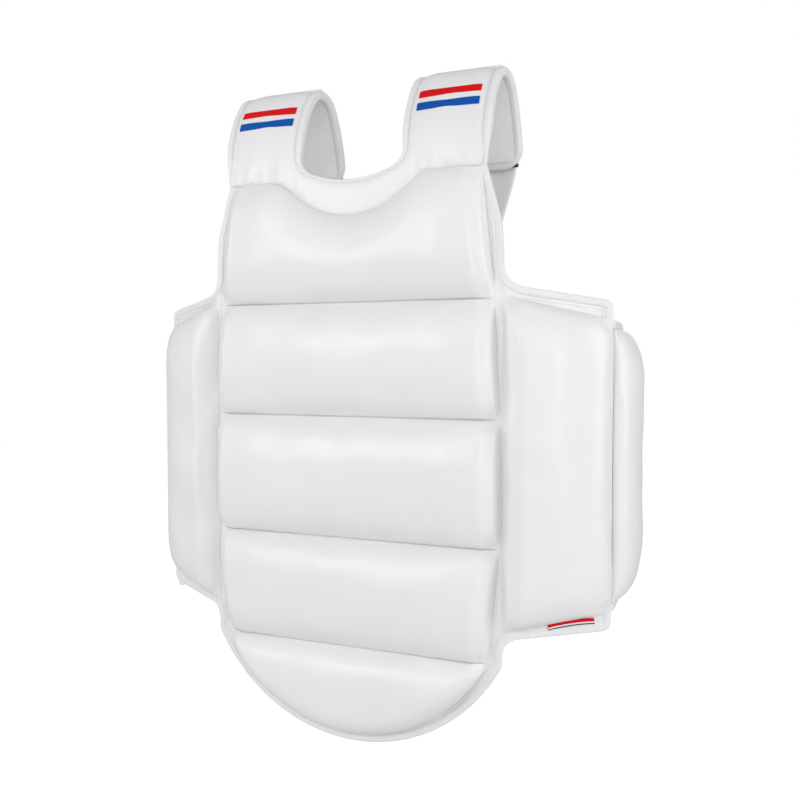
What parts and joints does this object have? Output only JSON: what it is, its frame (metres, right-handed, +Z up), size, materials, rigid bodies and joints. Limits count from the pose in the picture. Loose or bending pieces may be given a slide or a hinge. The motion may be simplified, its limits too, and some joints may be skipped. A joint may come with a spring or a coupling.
{
  "type": "chest protector",
  "caption": "Padded vest for striking sports: quilted front panel, folding side wings, arched shoulder straps, half-moon flap, back harness and waist belt with hook-and-loop fastening.",
  "frame": {"origin": "middle of the wearer's torso at the height of the waist belt", "axes": "+X towards the wearer's left, front faces -Y, +Z up"},
  "size_m": [0.52, 0.1922, 0.6401],
  "materials": {
    "white_cover": "satin",
    "foam": "matte",
    "lining": "matte",
    "binding": "satin",
    "stripe_tape": "satin",
    "label_tape": "matte",
    "loop_pile": "matte",
    "hook_tape": "matte",
    "webbing": "matte",
    "elastic": "matte",
    "pull_tab": "matte"
  },
  "bodies": {
    "front_panel": {"front_lining": "lining", "front_binding": "binding", "belly_cover": "white_cover", "belly_foam": "foam", "middle_cover": "white_cover", "middle_foam": "foam", "upper_cover": "white_cover", "upper_foam": "foam", "chest_cover": "white_cover", "chest_foam": "foam", "neck_band_cover": "white_cover", "neck_band_foam": "foam"},
    "lower_flap": {"flap_lining": "lining", "flap_binding": "binding", "flap_cover": "white_cover", "flap_foam": "foam"},
    "left_wing": {"left_wing_lining": "lining", "left_wing_binding": "binding", "left_wing_cover": "white_cover", "left_wing_foam": "foam", "side_label": "label_tape"},
    "left_rear_wing": {"left_rear_wing_lining": "lining", "left_rear_wing_binding": "binding", "left_rear_wing_cover": "white_cover", "left_rear_wing_foam": "foam", "side_elastic": "elastic", "side_loop_patch": "loop_pile"},
    "left_strap": {"left_strap_cover": "white_cover", "left_strap_foam": "foam", "left_strap_lining": "lining", "left_strap_binding": "binding", "left_stripe_tapes": "stripe_tape", "left_loop_patch": "loop_pile"},
    "right_wing": {"right_wing_lining": "lining", "right_wing_binding": "binding", "right_wing_cover": "white_cover", "right_wing_foam": "foam"},
    "right_rear_wing": {"right_rear_wing_lining": "lining", "right_rear_wing_binding": "binding", "right_rear_wing_cover": "white_cover", "right_rear_wing_foam": "foam"},
    "right_strap": {"right_strap_cover": "white_cover", "right_strap_foam": "foam", "right_strap_lining": "lining", "right_strap_binding": "binding", "right_stripe_tapes": "stripe_tape", "right_loop_patch": "loop_pile"},
    "belt": {"belt_elastic": "elastic", "belt_hook_patch": "hook_tape", "belt_pull_tab": "pull_tab"},
    "harness": {"back_yoke_lining": "lining", "back_yoke_cover": "white_cover", "back_yoke_foam": "foam", "belt_sleeve": "webbing", "left_rear_strap": "webbing", "left_rear_hook_patch": "hook_tape", "right_rear_strap": "webbing", "right_rear_hook_patch": "hook_tape"}
  },
  "joints": [
    {"name": "right_wing_fold", "type": "hinge", "parent": "front_panel", "child": "right_wing", "pos_m": [-0.1515, -0.1, 0], "axis": [0, 0, 1], "range_deg": [0, 25]},
    {"name": "left_wing_fold", "type": "hinge", "parent": "front_panel", "child": "left_wing", "pos_m": [0.1515, -0.1, 0], "axis": [0, 0, 1], "range_deg": [-25, 0]},
    {"name": "right_rear_wing_fold", "type": "hinge", "parent": "right_wing", "child": "right_rear_wing", "pos_m": [-0.24122, -0.05816, 0], "axis": [0, 0, 1], "range_deg": [0, 72]},
    {"name": "left_rear_wing_fold", "type": "hinge", "parent": "left_wing", "child": "left_rear_wing", "pos_m": [0.24122, -0.05816, 0], "axis": [0, 0, 1], "range_deg": [-72, 0]},
    {"name": "belt_fold", "type": "hinge", "parent": "right_rear_wing", "child": "belt", "pos_m": [-0.22933, 0.03055, 0], "axis": [0, 0, 1], "range_deg": [0, 83]},
    {"name": "harness_slide", "type": "slide", "parent": "belt", "child": "harness", "axis": [1, 0, 0], "range_m": [-0.015, 0.015]},
    {"name": "left_strap_fold", "type": "hinge", "parent": "front_panel", "child": "left_strap", "pos_m": [0.097, -0.1, 0.27], "axis": [1, 0, 0], "range_deg": [0, 90]},
    {"name": "right_strap_fold", "type": "hinge", "parent": "front_panel", "child": "right_strap", "pos_m": [-0.097, -0.1, 0.27], "axis": [1, 0, 0], "range_deg": [0, 90]},
    {"name": "lower_flap_fold", "type": "hinge", "parent": "front_panel", "child": "lower_flap", "pos_m": [0, -0.1, -0.18], "axis": [1, 0, 0], "range_deg": [-25, 60], "stiffness_Nm_per_rad": 0.4}
  ],
  "couplings": [
    {"joint": "left_wing_fold", "follows": "right_wing_fold", "ratio": -1},
    {"joint": "left_rear_wing_fold", "follows": "right_rear_wing_fold", "ratio": -1}
  ]
}
